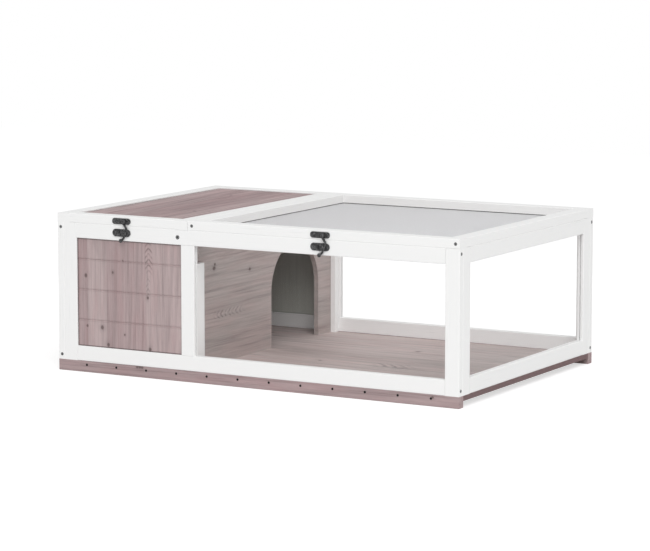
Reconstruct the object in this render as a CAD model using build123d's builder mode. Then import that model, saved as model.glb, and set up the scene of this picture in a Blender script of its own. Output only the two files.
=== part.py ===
from build123d import *
from math import acos, atan2, cos, hypot, radians, sin, sqrt
import os

os.makedirs("parts", exist_ok=True)

# A table-top tortoise house: a closed sleeping room and a wired run in one timber case on two skids.
# X runs along the front, from the sleeping room to the run. Y runs from the front to the back.
# The origin is the middle of the footprint, on the ground. Sizes are millimetres.

# The case
case_length = 900.0
case_depth = 600.0
wall_height = 277.5
room_width = 305.5
timber_thickness = 15.0
timber_width = 30.0
timber_edge = 1.0

# The base
skid_height = 22.5
skid_thickness = 18.0
floor_thickness = 10.0
base_edge = 1.5

# Nails through the skids into the edges of the floor
nail_count = 12
nail_from_left = 67.0
nail_from_right = 58.6
nail_place_down_floor = 0.75
nail_length = 32.0
nail_shank_radius = 0.9
nail_head_radius = 2.0
nail_head_height = 0.6
nail_fit = 0.1
nail_head_sides = 8

# Sheets held in grooves of the frames
panel_thickness = 8.0
window_thickness = 3.0
groove_depth = 6.0
sheet_end_gap = 0.5
sheet_fit = 0.1
line_count = 3
line_pitch = 61.0
line_from_top = 42.0
line_depth = 1.2

# The partition, its doorway and its battens
partition_thickness = 10.0
door_width = 195.0
door_spring_height = 113.5
door_centre = 120.5
batten_thickness = 12.0
front_batten_width = 30.0
front_batten_height = 210.0
rear_batten_width = 15.0
beam_width = 24.0

# The two lids
lid_height = 18.0
lid_bar_width = 30.0
sleeping_lid_overlap = 1.0
lid_split = 0.6
roof_recess = 3.0

# The wire net of the run
net_gaps_each_way = 15
net_wire = 1.2
net_lap = 8.0
net_rebate_depth = 1.5
net_rebate_gap = 1.0

# Wood screws of the frames and lids, and the larger screws of the beam
screw_length = 50.0
screw_shank_radius = 1.6
screw_head_radius = 3.1
screw_head_height = 2.0
screw_rim = 0.5
screw_edge = 10.0
run_lid_screw_edge = 9.0
screw_fit = 0.1
beam_screw_head_radius = 4.2
beam_screw_head_height = 2.8
shank_sides = 6
head_sides = 12

# The hook latches
plate_thickness = 1.6
latch_plate_length = 42.0
latch_plate_height = 15.0
latch_plate_drop = 14.0
keeper_plate_length = 43.0
keeper_plate_height = 12.0
rivet_length = 12.0
rivet_sides = 12
pivot_offset = 6.2
pivot_radius = 2.0
pivot_clearance = 0.05
eye_radius = 7.0
hook_thickness = 3.0
hook_width = 3.5
hook_gap = 0.3
peg_offset = 2.5
peg_radius = 2.4
peg_clearance = 0.4
latch_head_radius = 4.0
latch_head_height = 2.1
latch_head_edge = 1.2
arm_start_x = 5.4
arm_start_z = 11.5
tail_middle_x = 0.3
tail_middle_z = 9.5
tail_end_x = 6.2
tail_end_z = 15.5
tail_knob_radius = 3.2
hook_tip_degrees = 12.0

# The butt hinges
hinge_width = 40.0
leaf_height = 15.0
leaf_thickness = 1.5
barrel_radius = 3.5
hinge_gap = 0.3
knuckle_length = 12.0
hinge_pin_radius = 1.5
hinge_pin_clearance = 0.05
hinge_notch_depth = 4.0
knuckle_sides = 24
grip_sides = 12
sleeping_hinge_inset = 58.0
run_hinge_inset = 96.0

# One overrun for every cut that has to pass right through
overrun = 5.0

# Places worked out from the sizes above
left = -case_length / 2
right = case_length / 2
front = -case_depth / 2
back = case_depth / 2
sill = skid_height
eaves = skid_height + wall_height
lid_top = eaves + lid_height
opening_low = sill + timber_width
opening_high = eaves - timber_width
stile_centre = left + room_width
partition_face = stile_centre
partition_back = partition_face - partition_thickness
beam_centre = partition_back - beam_width / 2
sleeping_right = stile_centre + sleeping_lid_overlap
run_lid_left = sleeping_right + lid_split
sleeping_lid_centre = (left + sleeping_right) / 2
run_lid_centre = (run_lid_left + right) / 2


def keep(piece, label):
    """Name a finished piece and write it to its own file."""
    piece.part.label = label
    export_step(piece.part, f"parts/{label}.step")


def facing(points, normal):
    """Planes on a face, one at each point, looking out of the wood."""
    return [Plane(origin=point, z_dir=normal) for point in points]


def wood_screw(head_radius, head_height, fit):
    """One countersunk screw, its head's top at the origin; a fit above zero makes its hole."""
    with BuildPart() as screw:
        with BuildSketch():
            RegularPolygon(head_radius + fit, side_count=head_sides)
        extrude(amount=-head_height)
        chamfer(screw.faces().sort_by(Axis.Z)[0].edges(), head_height - screw_rim)
        with BuildSketch():
            RegularPolygon(screw_shank_radius + fit, side_count=shank_sides)
        extrude(amount=-(screw_length - screw_fit + fit))
    return screw.part


frame_screw = wood_screw(screw_head_radius, screw_head_height, 0)
frame_screw_hole = wood_screw(screw_head_radius, screw_head_height, screw_fit)
beam_screw = wood_screw(beam_screw_head_radius, beam_screw_head_height, 0)
beam_screw_hole = wood_screw(beam_screw_head_radius, beam_screw_head_height, screw_fit)

with BuildPart() as rivet_hole:
    with BuildSketch(Plane.XY.offset(plate_thickness - rivet_length)):
        RegularPolygon(pivot_radius + screw_fit, side_count=rivet_sides)
    extrude(amount=rivet_length)

with BuildPart() as latch_head:
    with BuildSketch():
        RegularPolygon(latch_head_radius, side_count=head_sides)
    extrude(amount=latch_head_height)
    chamfer(latch_head.faces().sort_by(Axis.Z)[-1].edges(), latch_head_edge)


def place(shape, planes, mode=Mode.ADD):
    """Put a copy of a shape on each plane, as a piece or as a cut."""
    with Locations(*[plane.location for plane in planes]):
        add(shape, mode=mode)


def bar(label, low, high, long_axis, pockets=(), drilled=()):
    """A planed timber between two corners, with eased long edges, sheet grooves and screw holes.

    A pocket is the box that a sheet fills, given by two corners. A drilled entry is the shape of
    a hole and the planes where it goes.
    """
    with BuildPart() as piece:
        with Locations([tuple((a + b) / 2 for a, b in zip(low, high))]):
            Box(*[b - a for a, b in zip(low, high)])
        chamfer(piece.edges().filter_by(long_axis), timber_edge)
        for pocket_low, pocket_high in pockets:
            with Locations([tuple((a + b) / 2 for a, b in zip(pocket_low, pocket_high))]):
                Box(*[b - a for a, b in zip(pocket_low, pocket_high)], mode=Mode.SUBTRACT)
        for hole, planes in drilled:
            place(hole, planes, Mode.SUBTRACT)
    keep(piece, label)


def grown(low, high, across, thickness):
    """The pocket of a sheet: the opening grown by the groove, as thick as the sheet and its fit."""
    corners = []
    for side, corner in ((-1, low), (1, high)):
        point = []
        for axis in range(3):
            if axis == across:
                middle = (low[axis] + high[axis]) / 2
                point.append(middle + side * (thickness / 2 + sheet_fit))
            else:
                point.append(corner[axis] + side * groove_depth)
        corners.append(tuple(point))
    return tuple(corners)


def sheet(label, pocket, across, lines_on=0):
    """A sheet that fills its pocket but for the fit; lines_on is the side that is scored across."""
    low = [a + (sheet_fit if axis == across else sheet_end_gap) for axis, a in enumerate(pocket[0])]
    high = [b - (sheet_fit if axis == across else sheet_end_gap) for axis, b in enumerate(pocket[1])]
    with BuildPart() as piece:
        with Locations([tuple((a + b) / 2 for a, b in zip(low, high))]):
            Box(*[b - a for a, b in zip(low, high)])
        if lines_on:
            run_axis = 1 - across
            face = high[across] if lines_on > 0 else low[across]
            section = Plane(
                origin=tuple(low[run_axis] if axis == run_axis else (face if axis == across else opening_high)
                             for axis in range(3)),
                x_dir=tuple(1 if axis == across else 0 for axis in range(3)),
                z_dir=tuple(1 if axis == run_axis else 0 for axis in range(3)),
            )
            up = 1 if section.y_dir.Z > 0 else -1
            line_side = line_depth * sqrt(2)
            with BuildSketch(section):
                with Locations(*[(0, -up * (line_from_top + n * line_pitch)) for n in range(line_count)]):
                    Rectangle(line_side, line_side, rotation=45)
            extrude(amount=high[run_axis] - low[run_axis], mode=Mode.SUBTRACT)
    keep(piece, label)


# The floor lies between the skids, level with their tops; nails hold it by its edges.
nail_height = skid_height - nail_place_down_floor * floor_thickness
nail_pitch = (case_length - nail_from_left - nail_from_right) / (nail_count - 1)
nail_places = [left + nail_from_left + n * nail_pitch for n in range(nail_count)]
front_nails = facing([(x, front, nail_height) for x in nail_places], (0, -1, 0))
rear_nails = facing([(x, back, nail_height) for x in nail_places], (0, 1, 0))


def nail_holes(planes):
    """Square bores of the cut nails."""
    width = 2 * (nail_shank_radius + nail_fit)
    with Locations(*[plane.location for plane in planes]):
        Box(width, width, nail_length, align=(Align.CENTER, Align.CENTER, Align.MAX), mode=Mode.SUBTRACT)


with BuildPart() as floor_panel:
    with Locations((0, 0, skid_height - floor_thickness / 2)):
        Box(case_length, case_depth - 2 * skid_thickness, floor_thickness)
    nail_holes(front_nails + rear_nails)
keep(floor_panel, "floor_panel")

for name, side, planes in (("front_skid", -1, front_nails), ("rear_skid", 1, rear_nails)):
    with BuildPart() as skid:
        with Locations((0, side * (case_depth - skid_thickness) / 2, skid_height / 2)):
            Box(case_length, skid_thickness, skid_height)
        outer_face = skid.faces().sort_by(Axis.Y)[0 if side < 0 else -1]
        fillet(outer_face.edges().filter_by(Axis.X).sort_by(Axis.Z)[0], base_edge)
        nail_holes(planes)
    keep(skid, name)

with BuildPart() as skid_nails:
    with Locations(*[plane.location for plane in front_nails + rear_nails]):
        Box(2 * nail_shank_radius, 2 * nail_shank_radius, nail_length - nail_fit,
            align=(Align.CENTER, Align.CENTER, Align.MAX))
    with BuildSketch(*front_nails, *rear_nails):
        RegularPolygon(nail_head_radius, side_count=nail_head_sides)
    extrude(amount=nail_head_height)
keep(skid_nails, "skid_nails")

# Screws through the stiles into the ends of the rails, and through the rails into the beam
screw_heights = (sill + screw_edge, eaves - screw_edge)
half_timber = timber_thickness / 2
left_front_screws = facing([(left + half_timber, front, z) for z in screw_heights], (0, -1, 0))
left_rear_screws = facing([(left + half_timber, back, z) for z in screw_heights], (0, 1, 0))
right_front_screws = facing([(right, front + half_timber, z) for z in screw_heights], (1, 0, 0))
right_rear_screws = facing([(right, back - half_timber, z) for z in screw_heights], (1, 0, 0))
beam_height = eaves - timber_width / 2
front_beam_screw = facing([(beam_centre, front, beam_height)], (0, -1, 0))
rear_beam_screw = facing([(beam_centre, back, beam_height)], (0, 1, 0))

# The latches sit in the middle of each lid's front edge, one plate on the lid and one on the rail.
latch_centres = {"sleeping": sleeping_lid_centre, "run": run_lid_centre}
latch_plate_z = eaves - latch_plate_drop
keeper_plate_z = eaves + lid_height / 2
pivot_planes = {key: Plane(origin=(x + pivot_offset, front, latch_plate_z), x_dir=(1, 0, 0), z_dir=(0, -1, 0))
                for key, x in latch_centres.items()}

# Two butt hinges carry each lid, on the back faces of the rail and the lid.
hinge_centres = {
    "sleeping": [left + sleeping_hinge_inset, sleeping_right - sleeping_hinge_inset],
    "run": [run_lid_left + run_hinge_inset, right - run_hinge_inset],
}
hinge_axis_y = back + hinge_gap + barrel_radius

# The left side frame runs the full depth: its stiles' edges show at the front and the back.
left_pocket = grown((left, front + timber_width, opening_low),
                    (left + timber_thickness, back - timber_width, opening_high), 0, panel_thickness)
left_inner = left + timber_thickness
bar("left_front_stile", (left, front, sill), (left_inner, front + timber_width, eaves), Axis.Z,
    [left_pocket], [(frame_screw_hole, left_front_screws)])
bar("left_rear_stile", (left, back - timber_width, sill), (left_inner, back, eaves), Axis.Z,
    [left_pocket], [(frame_screw_hole, left_rear_screws)])
for name, low_z, high_z in (("left_bottom_rail", sill, opening_low), ("left_top_rail", opening_high, eaves)):
    bar(name, (left, front + timber_width, low_z), (left_inner, back - timber_width, high_z), Axis.Y,
        [left_pocket], [(frame_screw_hole, left_front_screws + left_rear_screws)])
sheet("left_panel", left_pocket, 0, -1)

# The front and back frames: three stiles, two rails, a panel for the room and a window for the run
first_stile_end = left_inner + timber_width
mid_stile_left = stile_centre - timber_width / 2
mid_stile_right = stile_centre + timber_width / 2
last_stile_start = right - timber_width
for name, face, depth_side in (("front", front, 1), ("back", back, -1)):
    low_y = min(face, face + depth_side * timber_thickness)
    high_y = low_y + timber_thickness
    panel_pocket = grown((first_stile_end, low_y, opening_low), (mid_stile_left, high_y, opening_high),
                         1, panel_thickness)
    window_pocket = grown((mid_stile_right, low_y, opening_low), (last_stile_start, high_y, opening_high),
                          1, window_thickness)
    end_screws = right_front_screws if name == "front" else right_rear_screws
    centre_screw = front_beam_screw if name == "front" else rear_beam_screw
    bar(f"{name}_left_stile", (left_inner, low_y, sill), (first_stile_end, high_y, eaves), Axis.Z,
        [panel_pocket])
    bar(f"{name}_mid_stile", (mid_stile_left, low_y, opening_low), (mid_stile_right, high_y, opening_high),
        Axis.Z, [panel_pocket, window_pocket])
    bar(f"{name}_right_stile", (last_stile_start, low_y, sill), (right, high_y, eaves), Axis.Z,
        [window_pocket], [(frame_screw_hole, end_screws)])
    bar(f"{name}_bottom_rail", (first_stile_end, low_y, sill), (last_stile_start, high_y, opening_low),
        Axis.X, [panel_pocket, window_pocket], [(frame_screw_hole, end_screws)])
    top_holes = [(frame_screw_hole, end_screws), (beam_screw_hole, centre_screw)]
    if name == "front":
        top_holes.append((rivet_hole.part, list(pivot_planes.values())))
    bar(f"{name}_top_rail", (first_stile_end, low_y, opening_high), (last_stile_start, high_y, eaves),
        Axis.X, [panel_pocket, window_pocket], top_holes)
    sheet(f"{name}_panel", panel_pocket, 1, -depth_side)
    sheet(f"{name}_window", window_pocket, 1)

# The right side frame stands between the front and back frames and holds the end window.
right_inner = right - timber_thickness
right_low_y = front + timber_thickness
right_high_y = back - timber_thickness
end_pocket = grown((right_inner, right_low_y + timber_width, opening_low),
                   (right, right_high_y - timber_width, opening_high), 0, window_thickness)
bar("right_front_stile", (right_inner, right_low_y, sill), (right, right_low_y + timber_width, eaves),
    Axis.Z, [end_pocket])
bar("right_rear_stile", (right_inner, right_high_y - timber_width, sill), (right, right_high_y, eaves),
    Axis.Z, [end_pocket])
for name, low_z, high_z in (("right_bottom_rail", sill, opening_low), ("right_top_rail", opening_high, eaves)):
    bar(name, (right_inner, right_low_y + timber_width, low_z), (right, right_high_y - timber_width, high_z),
        Axis.Y, [end_pocket])
sheet("right_window", end_pocket, 0)

# The partition has a round-headed doorway towards the back, and stands against the beam.
with BuildPart() as partition:
    with BuildSketch(Plane(origin=(partition_back, 0, sill), x_dir=(0, 1, 0), z_dir=(1, 0, 0))):
        with Locations((0, wall_height / 2)):
            Rectangle(case_depth - 2 * timber_thickness, wall_height)
        with Locations((door_centre, door_spring_height)):
            Circle(door_width / 2, mode=Mode.SUBTRACT)
        with Locations((door_centre, (door_spring_height - overrun) / 2)):
            Rectangle(door_width, door_spring_height + overrun, mode=Mode.SUBTRACT)
    extrude(amount=partition_thickness)
keep(partition, "partition")

bar("partition_front_batten", (partition_face, right_low_y, sill),
    (partition_face + batten_thickness, right_low_y + front_batten_width, sill + front_batten_height), Axis.Z)
bar("partition_rear_batten", (partition_face, right_high_y - rear_batten_width, sill),
    (partition_face + batten_thickness, right_high_y, eaves), Axis.Z)
bar("lid_beam", (beam_centre - beam_width / 2, right_low_y, opening_high),
    (beam_centre + beam_width / 2, right_high_y, eaves), Axis.Y, (),
    [(beam_screw_hole, front_beam_screw + rear_beam_screw)])

# Sleeping lid: side bars of full depth, end bars between them, and a roof panel in a groove
lid_screw_z = eaves + lid_height / 2
sleeping_screw_y = (case_depth - lid_bar_width) / 2
sleeping_screws = facing([(left, y, lid_screw_z) for y in (-sleeping_screw_y, sleeping_screw_y)], (-1, 0, 0))
sleeping_screws += facing([(sleeping_right, y, lid_screw_z) for y in (-sleeping_screw_y, sleeping_screw_y)],
                          (1, 0, 0))
roof_top = lid_top - roof_recess
roof_pocket = (
    (left + lid_bar_width - groove_depth, front + lid_bar_width - groove_depth,
     roof_top - panel_thickness - sheet_fit),
    (sleeping_right - lid_bar_width + groove_depth, back - lid_bar_width + groove_depth,
     roof_top + sheet_fit),
)
for name, low_x in (("sleeping_lid_left_bar", left), ("sleeping_lid_right_bar", sleeping_right - lid_bar_width)):
    bar(name, (low_x, front, eaves), (low_x + lid_bar_width, back, lid_top), Axis.Y,
        [roof_pocket], [(frame_screw_hole, sleeping_screws)])
bar("sleeping_lid_front_bar", (left + lid_bar_width, front, eaves),
    (sleeping_right - lid_bar_width, front + lid_bar_width, lid_top), Axis.X, [roof_pocket],
    [(frame_screw_hole, sleeping_screws)])
bar("sleeping_lid_rear_bar", (left + lid_bar_width, back - lid_bar_width, eaves),
    (sleeping_right - lid_bar_width, back, lid_top), Axis.X, [roof_pocket],
    [(frame_screw_hole, sleeping_screws)])
sheet("roof_panel", roof_pocket, 2)

# Run lid: end bars of full length, side bars between them, and the wire net in a rebate beneath
run_screw_places = (run_lid_left + run_lid_screw_edge, right - run_lid_screw_edge)
run_screws = facing([(x, front, lid_screw_z) for x in run_screw_places], (0, -1, 0))
run_screws += facing([(x, back, lid_screw_z) for x in run_screw_places], (0, 1, 0))
net_low = (run_lid_left + lid_bar_width - net_lap, front + lid_bar_width - net_lap)
net_high = (right - lid_bar_width + net_lap, back - lid_bar_width + net_lap)
net_rebate = (
    (net_low[0] - net_rebate_gap, net_low[1] - net_rebate_gap, eaves - overrun),
    (net_high[0] + net_rebate_gap, net_high[1] + net_rebate_gap, eaves + net_rebate_depth),
)
for name, low_y in (("run_lid_front_bar", front), ("run_lid_rear_bar", back - lid_bar_width)):
    bar(name, (run_lid_left, low_y, eaves), (right, low_y + lid_bar_width, lid_top), Axis.X,
        [net_rebate], [(frame_screw_hole, run_screws)])
for name, low_x in (("run_lid_left_bar", run_lid_left), ("run_lid_right_bar", right - lid_bar_width)):
    bar(name, (low_x, front + lid_bar_width, eaves), (low_x + lid_bar_width, back - lid_bar_width, lid_top),
        Axis.Y, [net_rebate], [(frame_screw_hole, run_screws)])

net_length = net_high[0] - net_low[0]
net_depth = net_high[1] - net_low[1]
net_pitch_x = (net_length - net_wire) / net_gaps_each_way
net_pitch_y = (net_depth - net_wire) / net_gaps_each_way
with BuildPart() as wire_net:
    with BuildSketch(Plane.XY.offset(eaves + net_rebate_depth - net_wire)):
        with Locations(((net_low[0] + net_high[0]) / 2, 0)):
            Rectangle(net_length, net_depth)
            with GridLocations(net_pitch_x, net_pitch_y, net_gaps_each_way, net_gaps_each_way):
                Rectangle(net_pitch_x - net_wire, net_pitch_y - net_wire, mode=Mode.SUBTRACT)
    extrude(amount=net_wire)
keep(wire_net, "wire_net")

# The screw groups, one for each body that they stay with
with BuildPart() as frame_screws:
    place(frame_screw, left_front_screws + left_rear_screws + right_front_screws + right_rear_screws)
    place(beam_screw, front_beam_screw + rear_beam_screw)
keep(frame_screws, "frame_screws")

with BuildPart() as sleeping_lid_screws:
    place(frame_screw, sleeping_screws)
keep(sleeping_lid_screws, "sleeping_lid_screws")

with BuildPart() as run_lid_screws:
    place(frame_screw, run_screws)
keep(run_lid_screws, "run_lid_screws")

# The hook swings about its rivet: its curl goes round the keeper's peg, then follows a circle
# about the rivet, so that it slides off the peg without touching it.
peg_up = keeper_plate_z - latch_plate_z
peg_place = (peg_offset, peg_up)
curl_radius = peg_radius + peg_clearance + hook_width / 2
arm_start = (arm_start_x, arm_start_z)
to_peg = (peg_offset - arm_start_x, peg_up - arm_start_z)
peg_distance = hypot(*to_peg)
curl_start_angle = atan2(-to_peg[1], -to_peg[0]) - acos(curl_radius / peg_distance)
curl_start = (peg_offset + curl_radius * cos(curl_start_angle), peg_up + curl_radius * sin(curl_start_angle))
peg_bearing = atan2(peg_up, peg_offset)
peg_reach = hypot(*peg_place)
sweep_radius = peg_reach + curl_radius
curl_top = (sweep_radius * cos(peg_bearing), sweep_radius * sin(peg_bearing))
tip_bearing = peg_bearing - radians(hook_tip_degrees)
tip_middle_bearing = (peg_bearing + tip_bearing) / 2
hook_tip = (sweep_radius * cos(tip_bearing), sweep_radius * sin(tip_bearing))
tip_middle = (sweep_radius * cos(tip_middle_bearing), sweep_radius * sin(tip_middle_bearing))
curl_middle_angle = (curl_start_angle % radians(360) + peg_bearing) / 2
curl_middle = (peg_offset + curl_radius * cos(curl_middle_angle),
               peg_up + curl_radius * sin(curl_middle_angle))
hook_back = plate_thickness + hook_gap
head_back = hook_back + hook_thickness + hook_gap

for key, centre in latch_centres.items():
    with BuildPart() as latch_plate:
        with BuildSketch(Plane(origin=(centre, front, latch_plate_z), x_dir=(1, 0, 0), z_dir=(0, -1, 0))):
            SlotOverall(latch_plate_length, latch_plate_height)
        extrude(amount=plate_thickness)
        place(rivet_hole.part, [pivot_planes[key]], Mode.SUBTRACT)
    keep(latch_plate, f"{key}_latch_plate")

    with BuildPart() as keeper:
        with BuildSketch(Plane(origin=(centre, front, keeper_plate_z), x_dir=(1, 0, 0), z_dir=(0, -1, 0))):
            SlotOverall(keeper_plate_length, keeper_plate_height)
        extrude(amount=plate_thickness)
        peg_plane = Plane(origin=(centre + pivot_offset + peg_offset, front, keeper_plate_z),
                          x_dir=(1, 0, 0), z_dir=(0, -1, 0))
        with BuildSketch(peg_plane.offset(plate_thickness)):
            Circle(peg_radius)
        extrude(amount=head_back - plate_thickness)
        place(latch_head.part, [peg_plane.offset(head_back)])
    keep(keeper, f"{key}_keeper")

    pivot = pivot_planes[key]
    hook_plane = Plane(origin=pivot.offset(hook_back).origin, x_dir=(1, 0, 0), z_dir=(0, -1, 0))
    with BuildPart() as hook:
        with BuildSketch(hook_plane):
            with BuildLine() as arm:
                line = Line(arm_start, curl_start)
                ThreePointArc(curl_start, curl_middle, curl_top)
                ThreePointArc(curl_top, tip_middle, hook_tip)
                shoulder = TangentArc(arm_start, (pivot_radius, 0), tangent=line % 0 * -1)
            trace(line_width=hook_width)
            with BuildLine() as tail:
                ThreePointArc((pivot_radius, 0), (tail_middle_x, -tail_middle_z), (-tail_end_x, -tail_end_z))
            trace(line_width=hook_width)
            with Locations(hook_tip):
                Circle(hook_width / 2)
            with Locations((-tail_end_x, -tail_end_z)):
                RegularPolygon(tail_knob_radius, side_count=head_sides)
            Circle(eye_radius)
            Circle(pivot_radius + pivot_clearance, mode=Mode.SUBTRACT)
        extrude(amount=hook_thickness)
    keep(hook, f"{key}_hook")

    with BuildPart() as rivet:
        with BuildSketch(pivot.offset(plate_thickness - rivet_length + screw_fit)):
            RegularPolygon(pivot_radius, side_count=rivet_sides)
        extrude(amount=rivet_length + head_back - plate_thickness - screw_fit)
        place(latch_head.part, [pivot.offset(head_back)])
    keep(rivet, f"{key}_hook_rivet")

# Each hinge has two knuckles on the frame's leaf and one between them on the lid's leaf.
inner_knuckle = hinge_width - 2 * knuckle_length - 2 * hinge_gap
all_hinge_centres = hinge_centres["sleeping"] + hinge_centres["run"]


def leaves(label, centres, side):
    """Hinge leaves with their knuckles: side is 1 for the lid's leaves and -1 for the frame's.

    The lid's knuckle turns on the pin, in a round bore. The frame's knuckles grip it by flats.
    """
    edge = (hinge_width - knuckle_length) / 2
    if side > 0:
        knuckles = [(0, inner_knuckle)]
        notches = [(-edge, knuckle_length + 2 * hinge_gap), (edge, knuckle_length + 2 * hinge_gap)]
    else:
        knuckles = [(-edge, knuckle_length), (edge, knuckle_length)]
        notches = [(0, inner_knuckle + 2 * hinge_gap)]
    with BuildPart() as hinge_leaves:
        for x in centres:
            with Locations((x, back + leaf_thickness / 2, eaves + side * leaf_height / 2)):
                Box(hinge_width, leaf_thickness, leaf_height)
            for middle, length in notches:
                with Locations((x + middle, back + leaf_thickness / 2, eaves)):
                    Box(length, 2 * leaf_thickness, 2 * hinge_notch_depth, mode=Mode.SUBTRACT)
            for middle, length in knuckles:
                end = Plane(origin=(x + middle - length / 2, hinge_axis_y, eaves), z_dir=(1, 0, 0))
                with BuildSketch(end):
                    RegularPolygon(barrel_radius, side_count=knuckle_sides)
                extrude(amount=length)
                with BuildSketch(end):
                    if side > 0:
                        Circle(hinge_pin_radius + hinge_pin_clearance)
                    else:
                        RegularPolygon(hinge_pin_radius, side_count=grip_sides, major_radius=False)
                extrude(amount=length, mode=Mode.SUBTRACT)
    keep(hinge_leaves, label)


leaves("hinge_frame_leaves", all_hinge_centres, -1)
for key, centres in hinge_centres.items():
    leaves(f"{key}_hinge_lid_leaves", centres, 1)

with BuildPart() as hinge_pins:
    with BuildSketch(*[Plane(origin=(x - hinge_width / 2, hinge_axis_y, eaves), z_dir=(1, 0, 0))
                       for x in all_hinge_centres]):
        Circle(hinge_pin_radius)
    extrude(amount=hinge_width)
keep(hinge_pins, "hinge_pins")
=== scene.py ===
"""A low timber tortoise house: a closed sleeping room and a windowed run, each under its own hinged lid."""
import math
import bmesh
import bpy
from bmesh.types import BMEdge, BMFace, BMVert
from mathutils import Matrix, Vector


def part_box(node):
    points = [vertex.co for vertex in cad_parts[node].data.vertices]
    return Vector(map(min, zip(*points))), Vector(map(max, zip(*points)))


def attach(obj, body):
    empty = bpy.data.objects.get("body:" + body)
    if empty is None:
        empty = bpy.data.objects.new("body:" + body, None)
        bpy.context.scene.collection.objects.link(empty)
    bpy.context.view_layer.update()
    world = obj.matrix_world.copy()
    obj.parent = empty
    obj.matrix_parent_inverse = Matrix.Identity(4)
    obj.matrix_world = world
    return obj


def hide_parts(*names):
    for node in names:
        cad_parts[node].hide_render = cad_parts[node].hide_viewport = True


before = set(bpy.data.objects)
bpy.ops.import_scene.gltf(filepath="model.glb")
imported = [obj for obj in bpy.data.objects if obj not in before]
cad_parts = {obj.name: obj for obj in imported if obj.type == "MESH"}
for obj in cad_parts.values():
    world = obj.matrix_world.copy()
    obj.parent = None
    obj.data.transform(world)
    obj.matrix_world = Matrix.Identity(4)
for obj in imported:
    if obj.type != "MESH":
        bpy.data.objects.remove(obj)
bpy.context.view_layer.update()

# The timbers
# Stiles, rails, lid bars, battens and the beam are planed pine with eased edges, glued and screwed into
# frames. They carry a thin white paint, which the grain under it ripples a little.
paint_colour = (0.90, 0.90, 0.895, 1.0)
paint_streak = (0.80, 0.805, 0.80, 1.0)
paint_roughness = (0.42, 0.50)
paint_fibre_width = 0.0022
paint_streak_width = 12 * paint_fibre_width
paint_stretch = 26.0
paint_ripple = 0.00012
paint_ripple_strength = 0.5
fine_streaks = (0.55, 0.8)
broad_streaks = (0.4, 0.7)
fibre_detail = 3.0
usual_noise = (0.3, 0.7)


def feed(tree, socket, value):
    """Link another node's output into a socket, or set its value."""
    if isinstance(value, bpy.types.NodeSocket):
        tree.links.new(value, socket)
    else:
        socket.default_value = value


def node(tree, kind, inputs, **fields):
    """Add a node, set its fields and fill its inputs, which are given by name or number."""
    made = tree.nodes.new(kind)
    for field, value in fields.items():
        setattr(made, field, value)
    for key, value in inputs.items():
        feed(tree, made.inputs[key], value)
    return made.outputs


def maths(tree, operation, *values):
    """One maths node, and its result."""
    return node(tree, "ShaderNodeMath", dict(enumerate(values)), operation=operation)[0]


def vector_maths(tree, operation, *values):
    """One vector maths node's results."""
    return node(tree, "ShaderNodeVectorMath", dict(enumerate(values)), operation=operation)


def blended(tree, share, first, second, blend_type="MIX"):
    """Mix two colours by a share."""
    inputs = {0: share, 6: first, 7: second}
    return node(tree, "ShaderNodeMix", inputs, data_type="RGBA", blend_type=blend_type)[2]


def band(tree, value, low, high, to_low=0.0, to_high=1.0):
    """Ease a value from one range to another, held at both ends."""
    inputs = {"Value": value, "From Min": low, "From Max": high, "To Min": to_low, "To Max": to_high}
    return node(tree, "ShaderNodeMapRange", inputs, interpolation_type="SMOOTHSTEP")[0]


def varied(tree, wandering, low, high):
    """Let a noise lead a value between two limits, over the range that the noise usually has."""
    return band(tree, wandering, *usual_noise, low, high)


def object_space(tree):
    """Each point's place on the object."""
    return node(tree, "ShaderNodeTexCoord", {})["Object"]


def noise(tree, space, scale, detail=2.0, roughness=0.5):
    """A value that wanders between nought and one from place to place."""
    inputs = {"Vector": space, "Scale": scale, "Detail": detail, "Roughness": roughness}
    return node(tree, "ShaderNodeTexNoise", inputs)["Fac"]


def raise_surface(tree, shader, height, distance, strength):
    """Raise a surface a little where a height says so."""
    bump = {"Strength": strength, "Distance": distance, "Height": height}
    feed(tree, shader["Normal"], node(tree, "ShaderNodeBump", bump)[0])


def shader_group(name, inputs, outputs):
    """An empty node group, its given values and the sockets of its results."""
    tree = bpy.data.node_groups.new(name, "ShaderNodeTree")
    for socket, kind in inputs.items():
        tree.interface.new_socket(socket, in_out="INPUT", socket_type="NodeSocket" + kind)
    for socket, kind in outputs.items():
        tree.interface.new_socket(socket, in_out="OUTPUT", socket_type="NodeSocket" + kind)
    return tree, tree.nodes.new("NodeGroupInput").outputs, tree.nodes.new("NodeGroupOutput").inputs


def place_group(tree, group, inputs):
    """Put a node group into a material with its own values."""
    return node(tree, "ShaderNodeGroup", inputs, node_tree=group)


def new_material(name):
    """A material, its node tree and its Principled shader's inputs."""
    material = bpy.data.materials.new(name)
    material.use_nodes = True
    return material, material.node_tree, material.node_tree.nodes["Principled BSDF"].inputs


def grain_space(tree, order):
    """Object coordinates reordered as across the face, into the wood, and along the grain."""
    axes = node(tree, "ShaderNodeSeparateXYZ", {0: object_space(tree)})
    return node(tree, "ShaderNodeCombineXYZ", {place: axes[axis] for place, axis in enumerate(order)})[0]


fibre_group, given, result = shader_group(
    "wood fibre", {"Vector": "Vector", "Width": "Float", "Stretch": "Float"}, {"Fibre": "Float"})
fine = maths(fibre_group, "DIVIDE", 1.0, given["Width"])
coarse = maths(fibre_group, "DIVIDE", fine, given["Stretch"])
stretched = node(fibre_group, "ShaderNodeCombineXYZ", {0: fine, 1: fine, 2: coarse})[0]
spread = vector_maths(fibre_group, "MULTIPLY", given["Vector"], stretched)[0]
feed(fibre_group, result["Fibre"], noise(fibre_group, spread, 1.0, fibre_detail))


def fibres(tree, space, width, stretch):
    """Streaks of a width along the grain, longer than wide by the stretch."""
    return place_group(tree, fibre_group, {"Vector": space, "Width": width, "Stretch": stretch})[0]


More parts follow.
